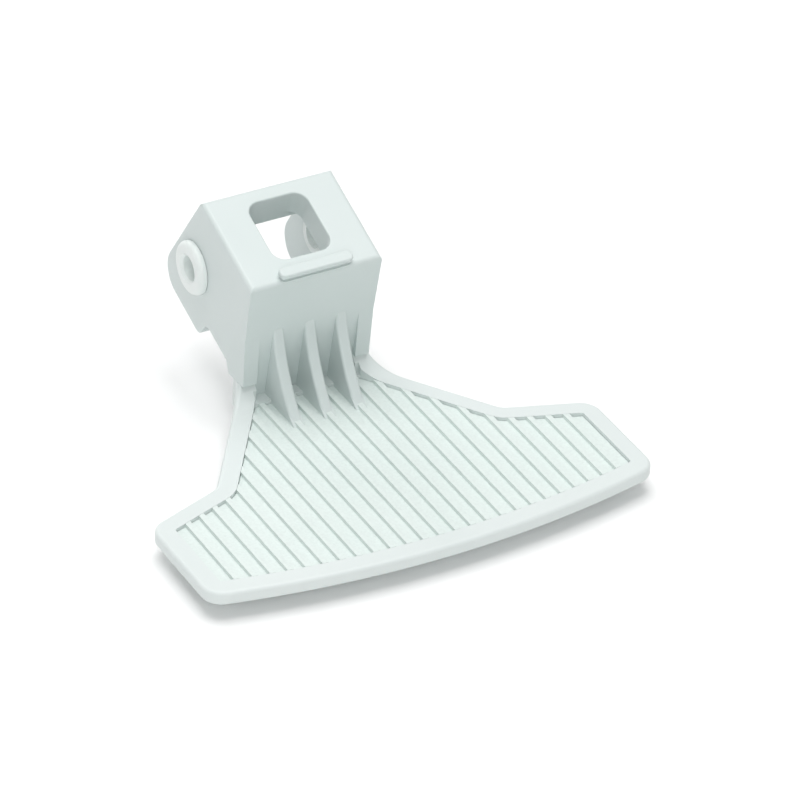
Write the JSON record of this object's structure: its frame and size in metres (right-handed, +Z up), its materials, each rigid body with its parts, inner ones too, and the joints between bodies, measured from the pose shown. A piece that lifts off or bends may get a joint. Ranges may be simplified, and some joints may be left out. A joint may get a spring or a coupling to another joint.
{
  "type": "flared lever handle",
  "caption": "Flared lever handle: a hollow hinge head with pivot bushes and a window, and a broad flared paddle with a ribbed grip.",
  "frame": {"origin": "on the pivot axis, half way between the two ears", "axes": "+X along the pivot axis to the right of someone facing the head from the tread, +Y from the tread to the head, +Z up from the ribbed side of the tread"},
  "size_m": [0.1124, 0.1028, 0.0486],
  "materials": {
    "head_plastic": "satin moulded",
    "tread_plastic": "satin moulded",
    "grip_plastic": "fine matt texture",
    "bush_plastic": "smooth satin"
  },
  "bodies": {
    "pivot_bushes": {"left_pivot_bush": "bush_plastic", "right_pivot_bush": "bush_plastic"},
    "lever": {"hinge_head": "head_plastic", "tread_plate": "tread_plastic", "grip_insert": "grip_plastic"}
  },
  "joints": [
    {"name": "lever_swing", "type": "hinge", "parent": "pivot_bushes", "child": "lever", "pos_m": [0, 0, 0], "axis": [1, 0, 0], "range_deg": [-30, 0]}
  ]
}
